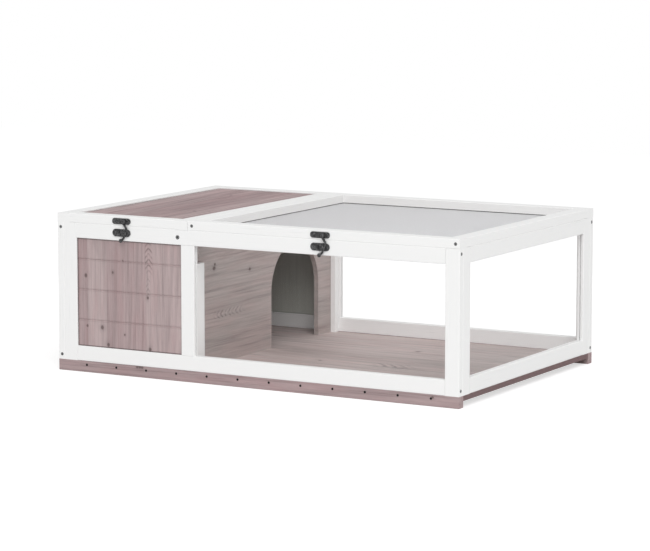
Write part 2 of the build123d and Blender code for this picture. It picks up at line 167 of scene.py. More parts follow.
def white_paint(name, order):
    """White paint over pine whose grain runs along the last axis of the order."""
    material, tree, shader = new_material(name)
    space = grain_space(tree, order)
    fine_grain = fibres(tree, space, paint_fibre_width, paint_stretch)
    broad_grain = fibres(tree, space, paint_streak_width, paint_stretch)
    streak = maths(tree, "MULTIPLY", band(tree, fine_grain, *fine_streaks),
                   band(tree, broad_grain, *broad_streaks))
    feed(tree, shader["Base Color"], blended(tree, streak, paint_colour, paint_streak))
    feed(tree, shader["Roughness"], varied(tree, broad_grain, *paint_roughness))
    raise_surface(tree, shader, fine_grain, paint_ripple, paint_ripple_strength)
    return material


paints = [white_paint("white_paint_along_x", (1, 2, 0)),
          white_paint("white_paint_along_y", (0, 2, 1)),
          white_paint("white_paint_along_z", (0, 1, 2))]


def dress(name, material):
    """Give a piece of the fixed frame its finish."""
    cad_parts[name].data.materials.clear()
    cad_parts[name].data.materials.append(material)


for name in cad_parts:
    if name.endswith(("_stile", "_rail", "_bar", "_batten", "_beam")):
        low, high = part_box(name)
        size = list(high - low)
        dress(name, paints[size.index(max(size))])

# The stained boards
# Floor, skids, panels, roof and partition are boards glued up from pine laths, stained a greyish
# mauve that lets rings, fibres and knots show. The wall panels are scored across like planks.
lath_width = 0.046

# Each lath's rings run round a heart that lies somewhat aside, below its face, and leans along it.
heart_aside = 0.07
heart_depth = (0.02, 0.07)
heart_lean = 0.018
ring_gap = 0.0026
ring_wobble = 0.0014
wobble_across = 9.0
wobble_along = 4.0
late_wood = (0.2, 0.85)
late_wood_edge = (0.86, 1.0)


def between(tree, share, low, high):
    """The value at a share of the way between two limits."""
    return maths(tree, "MULTIPLY_ADD", share, high - low, low)


def faded(tree, value, start, end):
    """One up to the start of a range, nought from its end."""
    return band(tree, value, start, end, 1.0, 0.0)


pine, given, result = shader_group(
    "pine figure",
    {"Vector": "Vector", "Lath width": "Float", "Ring gap": "Float", "Seed": "Float", "Push": "Float"},
    {"Rings": "Float", "Tone": "Float"})
across, depth, along = node(pine, "ShaderNodeSeparateXYZ", {0: given["Vector"]})
place = maths(pine, "ADD", maths(pine, "DIVIDE", across, given["Lath width"]), given["Seed"])
lath = maths(pine, "FLOOR", place)
inside = maths(pine, "SUBTRACT", maths(pine, "FRACT", place), 0.5)
inside = maths(pine, "MULTIPLY", inside, given["Lath width"])
chance = node(pine, "ShaderNodeTexWhiteNoise", {"W": lath}, noise_dimensions="1D")["Color"]
chances = node(pine, "ShaderNodeSeparateColor", {0: chance})
heart = between(pine, chances[0], -heart_aside, heart_aside)
heart_below = between(pine, chances[1], *heart_depth)
lean = between(pine, chances[2], -heart_lean, heart_lean)
drift = node(pine, "ShaderNodeCombineXYZ", {
    0: maths(pine, "MULTIPLY", across, wobble_across), 1: lath,
    2: maths(pine, "MULTIPLY", along, wobble_along)})[0]
wobble = between(pine, noise(pine, drift, 1.0), -ring_wobble, ring_wobble)
sunk = maths(pine, "MULTIPLY_ADD", along, lean, maths(pine, "ADD", depth, heart_below))
aside = maths(pine, "SUBTRACT", inside, heart)
square = maths(pine, "MULTIPLY_ADD", aside, aside, maths(pine, "MULTIPLY", sunk, sunk))
radius = maths(pine, "ADD", maths(pine, "SQRT", square), maths(pine, "ADD", wobble, given["Push"]))
ring = maths(pine, "FRACT", maths(pine, "DIVIDE", radius, given["Ring gap"]))
late = maths(pine, "MULTIPLY", band(pine, ring, *late_wood), faded(pine, ring, *late_wood_edge))
feed(pine, result["Rings"], late)
feed(pine, result["Tone"], chances[1])

# A knot is dark in its middle, pushes the rings aside and shades the wood round it.
knot_squeeze = (1.0, 0.0, 0.8)
knot_fade = 0.22
knot_rim = (0.55, 1.5)
knot_push = 0.6
knot, given, result = shader_group(
    "knot", {"Vector": "Vector", "Centre": "Vector", "Radius": "Float"},
    {"Dark": "Float", "Push": "Float", "Shadow": "Float"})
away = vector_maths(knot, "SUBTRACT", given["Vector"], given["Centre"])[0]
away = vector_maths(knot, "MULTIPLY", away, knot_squeeze)[0]
reach = maths(knot, "DIVIDE", vector_maths(knot, "LENGTH", away)["Value"], given["Radius"])
swell = maths(knot, "EXPONENT", maths(knot, "MULTIPLY", maths(knot, "MULTIPLY", reach, reach), -knot_fade))
push = maths(knot, "MULTIPLY", given["Radius"], knot_push)
feed(knot, result["Dark"], faded(knot, reach, *knot_rim))
feed(knot, result["Push"], maths(knot, "MULTIPLY", swell, push))
feed(knot, result["Shadow"], swell)

# A flame is a row of dark chevrons along the grain, patchy and fading at its sides and ends.
flame_tip = 0.03
flame_stroke = (0.3, 0.75)
flame_stroke_edge = (0.8, 1.0)
flame_sides = (0.7, 1.2)
flame_ends = (0.4, 1.2)
flame_patches = 90.0
flame_patch = (0.3, 0.55)
flame, given, result = shader_group(
    "flame", {"Vector": "Vector", "Centre": "Vector", "Half width": "Float", "Half length": "Float",
              "Pitch": "Float", "Slant": "Float"}, {"Dark": "Float"})
away = vector_maths(flame, "SUBTRACT", given["Vector"], given["Centre"])[0]
away = node(flame, "ShaderNodeSeparateXYZ", {0: away})
wide = maths(flame, "DIVIDE", away["X"], given["Half width"])
long = maths(flame, "DIVIDE", away["Z"], given["Half length"])
rise = maths(flame, "SQRT", maths(flame, "MULTIPLY_ADD", wide, wide, flame_tip))
place = maths(flame, "MULTIPLY_ADD", rise, given["Slant"], away["Z"])
chevron = maths(flame, "FRACT", maths(flame, "DIVIDE", place, given["Pitch"]))
stroke = maths(flame, "MULTIPLY", band(flame, chevron, *flame_stroke),
               faded(flame, chevron, *flame_stroke_edge))
side = faded(flame, maths(flame, "ABSOLUTE", wide), *flame_sides)
tip = faded(flame, maths(flame, "ABSOLUTE", long), *flame_ends)
patchy = noise(flame, given["Vector"], flame_patches, detail=1.0)
stroke = maths(flame, "MULTIPLY", stroke, band(flame, patchy, *flame_patch))
feed(flame, result["Dark"], maths(flame, "MULTIPLY", stroke, maths(flame, "MULTIPLY", side, tip)))


def least(tree, values):
    """The smallest of several values."""
    smallest = values[0]
    for value in values[1:]:
        smallest = maths(tree, "MINIMUM", smallest, value)
    return smallest


def darkened(tree, shade, mask, strength):
    """Darken a shade by a strength where a mask is one."""
    return maths(tree, "MULTIPLY", shade, maths(tree, "MULTIPLY_ADD", mask, -strength, 1.0))


# Each score of a panel is a cut between two lips, which fade over their reach from its middle. The dark
# lips are painted shade along the groove, and the pale cut is painted light that offsets the groove's shade.
score_top = 0.228
score_pitch = 0.061
score_bottom = score_top - 2 * score_pitch
score_cut_painted_light = 1.22
score_cut_reach = (0.00064, 0.00144)
score_lip_painted_shade = 0.88
score_lip_reach = (0.00176, 0.00416)
score_clear = (0.0183, 0.0244)


def score_lines(tree, height):
    """How three scored lines across a wall panel shade it: painted shade at the lips, painted light in the
    cut.
    """
    step = maths(tree, "SUBTRACT", height, score_bottom + score_pitch / 2)
    step = maths(tree, "FRACT", maths(tree, "DIVIDE", step, score_pitch))
    gap = maths(tree, "ABSOLUTE", maths(tree, "SUBTRACT", step, 0.5))
    gap = maths(tree, "MULTIPLY", gap, score_pitch)
    lip_shade = band(tree, gap, *score_lip_reach, score_lip_painted_shade, 1.0)
    cut = band(tree, gap, *score_cut_reach, score_cut_painted_light, 1.0)
    below = band(tree, height, score_bottom - score_clear[0], score_bottom - score_clear[1])
    above = band(tree, height, score_top + score_clear[0], score_top + score_clear[1])
    here = maths(tree, "SUBTRACT", 1.0, maths(tree, "MAXIMUM", below, above))
    return maths(tree, "MULTIPLY_ADD", maths(tree, "MULTIPLY_ADD", lip_shade, cut, -1.0), here, 1.0)


# A streak's size is its width and how many times longer it is. Its shades are the factors by which it
# lightens and darkens the wood.
fibre_size = (0.0024, 34.0)
streak_size = (0.010, 16.0)
pore_size = (0.0006, 26.0)
blush_size = (0.017, 6.0)
line_stretch = 44.0
fibre_shades = (1.05, 0.94)
streak_shades = (1.05, 0.95)
pore_shades = (1.05, 0.95)
ring_lift = 0.2
ring_patch = (0.35, 0.62)
ring_faintest = 0.3
line_lift = 0.25
line_core = (0.54, 0.68)
knot_bark = (0.115, 0.078, 0.075, 1.0)
knot_cover = 0.85
knot_shadow = 0.16
# Painted shade round a panel's opening, where it meets its frame.
gap_shade_reach = (0.00096, 0.0032)
gap_shade_tone = 0.36
# Painted shade along a ramp of the grain, used on the floor.
shade_ramp_tone = 0.83
lath_tones = (0.1, 0.9)
blush_tint = (1.016, 0.962, 0.965, 1.0)
blush_patch = (0.42, 0.66)
bare_face = (0.558, 0.571, 0.528, 1.0)
bare_depth = (0.004, 0.005)
bare_calm = 0.6
end_grain = (0.165, 0.100, 0.100, 1.0)
end_depth = (0.0004, 0.0002)
stain_roughness = (0.55, 0.68)
stain_relief = 0.00015
stain_relief_strength = 0.6
relief_share = 0.6


def stain(name, order, pale, deep, seed, knots=(), flames=(), face=None, opening=None, end=None,
          shade_ramp=None, width=lath_width, contrast=0.12, lines=0.10, line_width=0.0042):
    """Stained pine. The order gives the axes across, into and along the grain. A wall panel's face is
    the place of its scored outer side, and its inner side is bare. The opening is what its frame leaves
    in view, across and along, and painted shade darkens the board round it. End is where end grain
    starts, and between the two places given for a ramp, painted shade darkens the board further along."""
    material, tree, shader = new_material(name)
    space = grain_space(tree, order)
    across, into, along = node(tree, "ShaderNodeSeparateXYZ", {0: space})
    push = 0.0
    dark = 0.0
    shadow = 0.0
    for knot_across, knot_along, radius in knots:
        eye = place_group(tree, knot, {
            "Vector": space, "Centre": (knot_across, 0.0, knot_along), "Radius": radius})
        push = maths(tree, "ADD", push, eye["Push"])
        dark = maths(tree, "MAXIMUM", dark, eye["Dark"])
        shadow = maths(tree, "MAXIMUM", shadow, eye["Shadow"])
    figure = place_group(tree, pine, {
        "Vector": space, "Lath width": width, "Ring gap": ring_gap, "Seed": seed, "Push": push})
    fibre, streak, pores, blush, dark_line = [
        fibres(tree, space, *size)
        for size in (fibre_size, streak_size, pore_size, blush_size, (line_width, line_stretch))]
    rings = maths(tree, "MULTIPLY", figure["Rings"], band(tree, streak, *ring_patch, ring_faintest, 1.0))
    shade = maths(tree, "MULTIPLY_ADD", rings, -contrast, 1.0 + ring_lift * contrast)
    for grain, shades in ((fibre, fibre_shades), (streak, streak_shades), (pores, pore_shades)):
        shade = maths(tree, "MULTIPLY", shade, varied(tree, grain, *shades))
    line_shade = band(tree, dark_line, *line_core, 1.0 + line_lift * lines, 1.0 - lines)
    shade = maths(tree, "MULTIPLY", shade, line_shade)
    shade = darkened(tree, shade, shadow, knot_shadow)
    for flame_middle, flame_place, half_width, half_length, pitch, slant, strength in flames:
        plume = place_group(tree, flame, {
            "Vector": space, "Centre": (flame_middle, 0.0, flame_place), "Half width": half_width,
            "Half length": half_length, "Pitch": pitch, "Slant": slant})
        shade = darkened(tree, shade, plume["Dark"], strength)
    # Painted shade: the board darkens near the edges that its frame leaves in view.
    if opening:
        before, after, below, above = opening
        inward = least(tree, [
            maths(tree, "SUBTRACT", across, before), maths(tree, "SUBTRACT", after, across),
            maths(tree, "SUBTRACT", along, below), maths(tree, "SUBTRACT", above, along)])
        shade = maths(tree, "MULTIPLY", shade, band(tree, inward, *gap_shade_reach, gap_shade_tone, 1.0))
    # Painted shade: the board darkens along the grain between the two places of its ramp.
    if shade_ramp:
        shade = maths(tree, "MULTIPLY", shade, band(tree, along, *shade_ramp, 1.0, shade_ramp_tone))
    colour = blended(tree, band(tree, figure["Tone"], *lath_tones), pale, deep)
    colour = blended(tree, band(tree, blush, *blush_patch), colour, blush_tint, "MULTIPLY")
    if face:
        bare = band(tree, maths(tree, "ABSOLUTE", maths(tree, "SUBTRACT", into, face)), *bare_depth)
        calm = maths(tree, "MULTIPLY", bare, bare_calm)
        shade = maths(tree, "MULTIPLY_ADD", calm, maths(tree, "SUBTRACT", 1.0, shade), shade)
        scores = maths(tree, "SUBTRACT", score_lines(tree, along), 1.0)
        scores = maths(tree, "MULTIPLY_ADD", maths(tree, "SUBTRACT", 1.0, bare), scores, 1.0)
        shade = maths(tree, "MULTIPLY", shade, scores)
        colour = blended(tree, bare, colour, bare_face)
    colour = node(tree, "ShaderNodeVectorMath", {0: colour, "Scale": shade}, operation="SCALE")[0]
    if knots:
        colour = blended(tree, maths(tree, "MULTIPLY", dark, knot_cover), colour, knot_bark)
    if end:
        ends = band(tree, maths(tree, "ABSOLUTE", along), end - end_depth[0], end - end_depth[1])
        colour = blended(tree, ends, colour, end_grain)
    feed(tree, shader["Base Color"], colour)
    feed(tree, shader["Roughness"], varied(tree, fibre, *stain_roughness))
    fibre_relief = maths(tree, "MULTIPLY", fibre, relief_share)
    relief = maths(tree, "MULTIPLY_ADD", figure["Rings"], relief_share, fibre_relief)
    raise_surface(tree, shader, relief, stain_relief, stain_relief_strength)
    return material


def view_between(before, after, below, above, across, along):
    """What four bars leave of a panel in view: two places across the grain and two along it."""
    return (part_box(before)[1][across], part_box(after)[0][across],
            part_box(below)[1][along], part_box(above)[0][along])


mauve = ((0.447, 0.355, 0.353, 1.0), (0.359, 0.266, 0.268, 1.0))
roof_mauve = ((0.402, 0.303, 0.303, 1.0), (0.312, 0.220, 0.223, 1.0))
floor_mauve = ((0.500, 0.426, 0.411, 1.0), (0.434, 0.366, 0.352, 1.0))
partition_mauve = ((0.445, 0.391, 0.376, 1.0), (0.393, 0.342, 0.328, 1.0))
# Painted shade darkens the floor towards its right end.
floor_shade_ramp = (0.10, 0.34)

# A knot is given by its place across the grain, its place along it and its radius.
front_knots = [(-0.3855, 0.195, 0.0030), (-0.3212, 0.205, 0.0019), (-0.3830, 0.094, 0.0022),
               (-0.3473, 0.093, 0.0032), (-0.3331, 0.059, 0.0030), (-0.2342, 0.057, 0.0030),
               (-0.2389, 0.160, 0.0024), (-0.297, 0.230, 0.0014), (-0.294, 0.082, 0.0016)]
partition_knots = [(0.2139, -0.1999, 0.0040), (0.2214, -0.1969, 0.0026), (0.1965, -0.0626, 0.0030)]
floor_knots = [(0.1286, 0.1401, 0.0038), (-0.0611, 0.0178, 0.0035), (0.205, -0.25, 0.0032)]
skid_knots = [(0.0202, -0.2515, 0.0023), (0.0206, -0.2570, 0.0026), (0.0202, -0.2630, 0.0022),
              (0.0173, 0.395, 0.0020)]
roof_knots = [(-0.330, 0.170, 0.0030), (-0.240, -0.120, 0.0026)]
side_knots = [(-0.150, 0.110, 0.0032), (0.080, 0.210, 0.0028), (0.190, 0.075, 0.0027),
              (-0.020, 0.150, 0.0019)]
back_knots = [(-0.350, 0.120, 0.0030), (-0.260, 0.225, 0.0027), (-0.340, 0.180, 0.0022)]

# A flame of nested chevrons is given by its place across and along the grain, its half width and half
# length, the pitch and the slant of its strokes, and how much they darken the wood.
front_flames = [(-0.2365, 0.241, 0.0085, 0.036, 0.0110, 0.010, 0.44),
                (-0.2380, 0.182, 0.0050, 0.022, 0.0100, 0.008, 0.26)]
partition_flames = [(0.119, -0.145, 0.0080, 0.065, 0.0145, -0.012, 0.42)]
floor_flames = [(-0.062, 0.180, 0.0300, 0.050, 0.0230, 0.040, 0.46)]
side_flames = [(0.060, 0.120, 0.0080, 0.040, 0.0100, 0.010, 0.40)]

boards = {
    "front_panel": stain(
        "stain_front", (0, 1, 2), *mauve, seed=3.30, knots=front_knots, flames=front_flames,
        face=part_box("front_panel")[0].y, opening=view_between(
            "front_left_stile", "front_mid_stile", "front_bottom_rail", "front_top_rail", 0, 2)),
    "back_panel": stain(
        "stain_back", (0, 1, 2), *mauve, seed=41.7, knots=back_knots,
        face=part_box("back_panel")[1].y, opening=view_between(
            "back_left_stile", "back_mid_stile", "back_bottom_rail", "back_top_rail", 0, 2)),
    "left_panel": stain(
        "stain_side", (1, 0, 2), *mauve, seed=17.2, knots=side_knots, flames=side_flames,
        face=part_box("left_panel")[0].x, opening=view_between(
            "left_front_stile", "left_rear_stile", "left_bottom_rail", "left_top_rail", 1, 2)),
    "roof_panel": stain(
        "stain_roof", (0, 2, 1), *roof_mauve, seed=25.6, knots=roof_knots, width=0.03, contrast=0.2,
        lines=0.34, line_width=0.0034, opening=view_between(
            "sleeping_lid_left_bar", "sleeping_lid_right_bar", "sleeping_lid_front_bar",
            "sleeping_lid_rear_bar", 0, 1)),
    "floor_panel": stain(
        "stain_floor", (1, 2, 0), *floor_mauve, seed=9.4, knots=floor_knots, flames=floor_flames,
        end=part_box("floor_panel")[1].x, shade_ramp=floor_shade_ramp, width=0.09, contrast=0.2, lines=0.24),
    "partition": stain(
        "stain_partition", (2, 0, 1), *partition_mauve, seed=33.1, knots=partition_knots,
        flames=partition_flames, width=0.11, contrast=0.11, lines=0.15),
    "front_skid": stain(
        "stain_skid", (2, 1, 0), *mauve, seed=50.5, knots=skid_knots, width=0.05, lines=0.20),
}
boards["rear_skid"] = boards["front_skid"]
for name, material in boards.items():
    dress(name, material)

# The windows
# Three clear acrylic sheets, 3 mm thick, sit in saw-cut grooves of the frames round the run. Hardly a
# reflection shows on them, so they bend light less than acrylic does, and they let the light through.
white = (1.0, 1.0, 1.0, 1.0)
window_roughness = 0.02
window_index = 1.12
window_material, tree, shader = new_material("clear_acrylic")
shader["Base Color"].default_value = white
shader["Roughness"].default_value = window_roughness
shader["IOR"].default_value = window_index
shader["Transmission Weight"].default_value = 1.0
surface = tree.nodes["Principled BSDF"].outputs[0]
rays = node(tree, "ShaderNodeLightPath", {})
unseen = maths(tree, "MAXIMUM", rays["Is Shadow Ray"], rays["Is Diffuse Ray"])
clear = node(tree, "ShaderNodeBsdfTransparent", {})[0]
mixed = node(tree, "ShaderNodeMixShader", {0: unseen, 1: surface, 2: clear})[0]
feed(tree, tree.nodes["Material Output"].inputs["Surface"], mixed)
for name in ("front_window", "back_window", "right_window"):
    dress(name, window_material)

# The wire net
# Welded mesh of thin galvanised wire, about 6 mm each way, is stapled into a rebate under the run lid's
# bars. A thin near-black strip between the bars and the net's edge is painted shade for the gap there.
# No lattice of shadow shows in the run, so the net casts none.
mesh_gap = 0.0062
wire_radius = 0.00044
wire_sides = 6
weld_sink = 0.9
net_lap = 0.008
shade_strip_thickness = 0.0011
staple_pitch = 0.055
staple_crown = 0.009
staple_leg = 0.006
staple_radius = 0.00026
staple_sides = 8
staple_clearance = 0.6
wire_dull = (0.780, 0.787, 0.800, 1.0)
wire_bright = (0.867, 0.874, 0.886, 1.0)
wire_roughness = (0.38, 0.55)
wire_metal = 0.4
spangle_scale = 260.0
shade_strip_black = (0.010, 0.010, 0.010, 1.0)
shade_strip_mottle = (0.022, 0.022, 0.022, 1.0)
shade_strip_roughness = 0.9
shade_strip_gloss = 0.2
shade_strip_mottle_scale = 1400.0
smooth_below = math.radians(38)


def mottled(name, scale, first, second, roughness, detail=2.0):
    """A material whose colour wanders between two, and its shader. A pair of roughnesses wanders too."""
    material, tree, shader = new_material(name)
    wandering = noise(tree, object_space(tree), scale, detail)
    feed(tree, shader["Base Color"], blended(tree, wandering, first, second))
    if isinstance(roughness, tuple):
        roughness = varied(tree, wandering, *roughness)
    feed(tree, shader["Roughness"], roughness)
    return material, shader


def mesh_of(name, shape):
    """A modelled shape as a mesh."""
    mesh = bpy.data.meshes.new(name)
    shape.to_mesh(mesh)
    shape.free()
    return mesh


def finished(name, shape, material, body, replaced=()):
    """Turn a modelled shape into a piece that rides on a body and stands for nodes of the frame."""
    mesh = mesh_of(name, shape)
    mesh.shade_smooth()
    mesh.set_sharp_from_angle(angle=smooth_below)
    mesh.materials.append(material)
    piece = bpy.data.objects.new(name, mesh)
    bpy.context.scene.collection.objects.link(piece)
    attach(piece, body)
    if replaced:
        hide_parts(*replaced)
    return piece


def rod(shape, start, end, radius, sides):
    """A straight round bar between two points."""
    run = end - start
    turn = Vector((0, 0, 1)).rotation_difference(run).to_matrix().to_4x4()
    bmesh.ops.create_cone(shape, cap_ends=True, segments=sides, radius1=radius, radius2=radius,
                          depth=run.length, matrix=Matrix.Translation((start + end) / 2) @ turn)


def only(kind, parts):
    """The vertices, edges or faces among the parts that an operator gives back."""
    return [part for part in parts if isinstance(part, kind)]


net_material, shader = mottled("galvanised_wire", spangle_scale, wire_dull, wire_bright, wire_roughness)
shader["Metallic"].default_value = wire_metal
net_low, net_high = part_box("wire_net")
net_size = net_high - net_low
net_middle = net_high.z - shade_strip_thickness - (1 + weld_sink) * wire_radius
net = bmesh.new()
for axis, side in ((0, -1), (1, 1)):
    other = 1 - axis
    wire_count = round(net_size[other] / mesh_gap) + 1
    pitch = (net_size[other] - 2 * wire_radius) / (wire_count - 1)
    for number in range(wire_count):
        start = net_low.copy()
        end = net_high.copy()
        start[other] = end[other] = net_low[other] + wire_radius + number * pitch
        start.z = end.z = net_middle + side * weld_sink * wire_radius
        rod(net, start, end, wire_radius, wire_sides)
fine_net = finished("fine_wire_net", net, net_material, "run_lid", ["wire_net"])
fine_net.visible_shadow = False

# A thin near-black strip round the opening, between the bars and the net's edge, is painted shade.
shade_strip_place = (net_low + net_high) / 2
shade_strip_place.z = net_high.z - shade_strip_thickness
shade_strip = bmesh.new()
bmesh.ops.create_grid(shade_strip, x_segments=1, y_segments=1, size=0.5)
bmesh.ops.scale(shade_strip, vec=(net_size.x, net_size.y, 1), verts=shade_strip.verts)
bmesh.ops.translate(shade_strip, vec=shade_strip_place, verts=shade_strip.verts)
bmesh.ops.inset_region(shade_strip, faces=shade_strip.faces[:], thickness=net_lap, use_boundary=True, use_even_offset=True)
hole = [max(shade_strip.faces, key=BMFace.calc_area)]
bmesh.ops.delete(shade_strip, geom=hole, context="FACES")
raised = bmesh.ops.extrude_face_region(shade_strip, geom=shade_strip.faces[:], use_keep_orig=True)["geom"]
bmesh.ops.translate(shade_strip, vec=(0, 0, shade_strip_thickness), verts=only(BMVert, raised))
bmesh.ops.recalc_face_normals(shade_strip, faces=shade_strip.faces)
shade_strip_material, shader = mottled("painted_shade_strip", shade_strip_mottle_scale, shade_strip_black, shade_strip_mottle, shade_strip_roughness)
shader["Specular IOR Level"].default_value = shade_strip_gloss
finished("net_edge_shade_strip", shade_strip, shade_strip_material, "run_lid")

staples = bmesh.new()
staple_z = net_middle - (1 + weld_sink) * wire_radius - staple_clearance * staple_radius
for axis in (0, 1):
    other = 1 - axis
    count = round(net_size[axis] / staple_pitch)
    step = net_size[axis] / count
    for edge in (net_low[other] + net_lap / 2, net_high[other] - net_lap / 2):
        for number in range(count):
            middle = Vector((0, 0, staple_z))
            middle[axis] = net_low[axis] + (number + 0.5) * step
            middle[other] = edge
            reach = Vector((0, 0, 0))
            reach[axis] = staple_crown / 2
            rod(staples, middle - reach, middle + reach, staple_radius, staple_sides)
            for corner in (middle - reach, middle + reach):
                rod(staples, corner, corner + Vector((0, 0, staple_leg)), staple_radius, staple_sides)
finished("net_staples", staples, net_material, "run_lid")

# The screws
# Black countersunk wood screws with a cross recess hold the stiles to the rails, the rails to the beam
# and the bars of the lids to each other. Smaller ones of the same kind hold the latches and the hinges.
screw_radius = 0.0034
beam_screw_radius = 0.0045
small_screw_radius = 0.0024
screw_edge = 0.010
lid_screw_edge = 0.009
head_proud = 0.00015
head_turn = 0.3
head_turn_step = 0.9
screw_worn = (0.16, 0.163, 0.165, 1.0)
screw_bright = (0.26, 0.263, 0.265, 1.0)
screw_roughness = (0.38, 0.52)
screw_metal = 0.3
wear_scale = 900.0
wear_detail = 3.0

# A screw's form, in shares of its head's radius. Below its face come an eased edge, the rim, the cone
# and the shank, each as the ratio of its lower ring to the one above and the drop between them.
head_sides = 28
face_radius = 0.94
face_crown = 0.03
cross_arm = 0.56
cross_half_width = 0.13
cross_depth = 0.30
cross_taper = 0.6
screw_rings = ((1 / face_radius, 0.06), (1.0, 0.06), (0.46, 0.56), (1.0, 2.2))


def screw_shape(radius):
    """A countersunk screw about the Z axis, its head's face at zero height, with a cross recess."""
    shape = bmesh.new()
    bmesh.ops.create_circle(shape, segments=head_sides, radius=face_radius * radius)
    ring = shape.edges[:]
    arm = cross_arm * radius
    half = cross_half_width * radius
    crown = face_crown * radius
    corner = [Vector((arm, -half, crown)), Vector((arm, half, crown)), Vector((half, half, crown))]
    cross = [shape.verts.new(Matrix.Rotation(turn * math.pi / 2, 3, "Z") @ point)
             for turn in range(4) for point in corner]
    cross_edges = [shape.edges.new((cross[number - 1], cross[number])) for number in range(len(cross))]
    bmesh.ops.triangle_fill(shape, use_beauty=True, edges=ring + cross_edges)
    inner = [face for face in shape.faces if all(vert in cross for vert in face.verts)]
    bmesh.ops.delete(shape, geom=inner, context="FACES_ONLY")
    socket = shape.faces.new(cross)
    deep = bmesh.ops.extrude_discrete_faces(shape, faces=[socket])["faces"][0]
    bmesh.ops.scale(shape, vec=(cross_taper, cross_taper, 1), verts=deep.verts)
    bmesh.ops.translate(shape, vec=(0, 0, -cross_depth * radius), verts=deep.verts)
    for width, drop in screw_rings:
        grown = bmesh.ops.extrude_edge_only(shape, edges=ring)["geom"]
        ring = only(BMEdge, grown)
        bmesh.ops.scale(shape, vec=(width, width, 1), verts=only(BMVert, grown))
        bmesh.ops.translate(shape, vec=(0, 0, -drop * radius), verts=only(BMVert, grown))
    bmesh.ops.contextual_create(shape, geom=ring)
    bmesh.ops.recalc_face_normals(shape, faces=shape.faces)
    return mesh_of("screw", shape)


def stamp(shape, mesh, point, outward, turn=head_turn):
    """Add a copy of a mesh at a point, its Z axis outward, turned a little about it."""
    first = len(shape.verts)
    shape.from_mesh(mesh)
    shape.verts.ensure_lookup_table()
    facing = Vector((0, 0, 1)).rotation_difference(Vector(outward)).to_matrix().to_4x4()
    matrix = Matrix.Translation(point) @ facing @ Matrix.Rotation(turn, 4, "Z")
    bmesh.ops.transform(shape, matrix=matrix, verts=shape.verts[first:])


def screws(name, body, replaced, places):
    """A group of screws: each place is a point, the way out of the wood and the screw's mesh."""
    shape = bmesh.new()
    for number, (point, outward, mesh) in enumerate(places):
        turn = head_turn + head_turn_step * number
        stamp(shape, mesh, Vector(point) + head_proud * Vector(outward), outward, turn)
    finished(name, shape, screw_material, body, replaced)


screw_material, shader = mottled(
    "black_screws", wear_scale, screw_worn, screw_bright, screw_roughness, wear_detail)
shader["Metallic"].default_value = screw_metal
wood_screw = screw_shape(screw_radius)
beam_screw = screw_shape(beam_screw_radius)
small_screw = screw_shape(small_screw_radius)
ahead, behind, leftward, rightward = (0, -1, 0), (0, 1, 0), (-1, 0, 0), (1, 0, 0)
case_low, case_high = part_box("left_front_stile")[0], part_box("back_right_stile")[1]
half_stile = (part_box("left_front_stile")[1].x - case_low.x) / 2
frame_places = []
for height in (case_low.z + screw_edge, case_high.z - screw_edge):
    frame_places += [((case_low.x + half_stile, case_low.y, height), ahead, wood_screw),
                     ((case_low.x + half_stile, case_high.y, height), behind, wood_screw),
                     ((case_high.x, case_low.y + half_stile, height), rightward, wood_screw),
                     ((case_high.x, case_high.y - half_stile, height), rightward, wood_screw)]
beam_low, beam_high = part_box("lid_beam")
beam_middle = (beam_low + beam_high) / 2
frame_places += [((beam_middle.x, case_low.y, beam_middle.z), ahead, beam_screw),
                 ((beam_middle.x, case_high.y, beam_middle.z), behind, beam_screw)]
screws("case_screws", "house", ["frame_screws"], frame_places)

lid_low, lid_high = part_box("sleeping_lid_left_bar")[0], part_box("sleeping_lid_right_bar")[1]
lid_middle_z = (lid_low.z + lid_high.z) / 2
bar_half = (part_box("sleeping_lid_left_bar")[1].x - lid_low.x) / 2
screws("roof_lid_screws", "sleeping_lid", ["sleeping_lid_screws"], [
    ((x, y, lid_middle_z), outward, wood_screw)
    for x, outward in ((lid_low.x, leftward), (lid_high.x, rightward))
    for y in (lid_low.y + bar_half, lid_high.y - bar_half)])
run_low, run_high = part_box("run_lid_front_bar")[0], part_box("run_lid_rear_bar")[1]
screws("wire_lid_screws", "run_lid", ["run_lid_screws"], [
    ((x, y, lid_middle_z), outward, wood_screw)
    for y, outward in ((run_low.y, ahead), (run_high.y, behind))
    for x in (run_low.x + lid_screw_edge, run_high.x - lid_screw_edge)])

# The nails
# Twelve steel nails on each side go through the skid into the edge of the floor board. Their round
# heads are a dull black and stand a little proud of the wood.
nail_count = 12
nail_from_left = 0.067
nail_from_right = 0.0586
nail_radius = 0.0024
nail_sides = 16
nail_head_height = 0.0014
nail_head_sink = 0.0001
nail_crown = 0.00045
nail_length = 0.031
nail_shank_top = 0.0005
nail_shank_radius = 0.0009
nail_shank_sides = 8
nail_black = (0.006, 0.006, 0.006, 1.0)
nail_worn = (0.016, 0.015, 0.015, 1.0)
nail_roughness = 0.7
nail_gloss = 0.2
nail_grain_scale = 1200.0
nail_black_and_slot_shade, shader = mottled("black_nails", nail_grain_scale, nail_black, nail_worn, nail_roughness)
shader["Specular IOR Level"].default_value = nail_gloss
nail = bmesh.new()
bmesh.ops.create_cone(nail, cap_ends=True, segments=nail_sides, radius1=nail_radius, radius2=nail_radius,
                      depth=nail_head_height, matrix=Matrix.Translation((0, 0, -nail_head_sink)))
crown = [edge for edge in nail.edges if all(vert.co.z > 0 for vert in edge.verts)]
bmesh.ops.bevel(nail, geom=crown, offset=nail_crown, segments=3, profile=0.5, affect="EDGES", material=-1)
rod(nail, Vector((0, 0, -nail_length)), Vector((0, 0, -nail_shank_top)), nail_shank_radius, nail_shank_sides)
nail_mesh = mesh_of("nail", nail)
nail_low, nail_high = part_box("skid_nails")
nail_height = (nail_low.z + nail_high.z) / 2
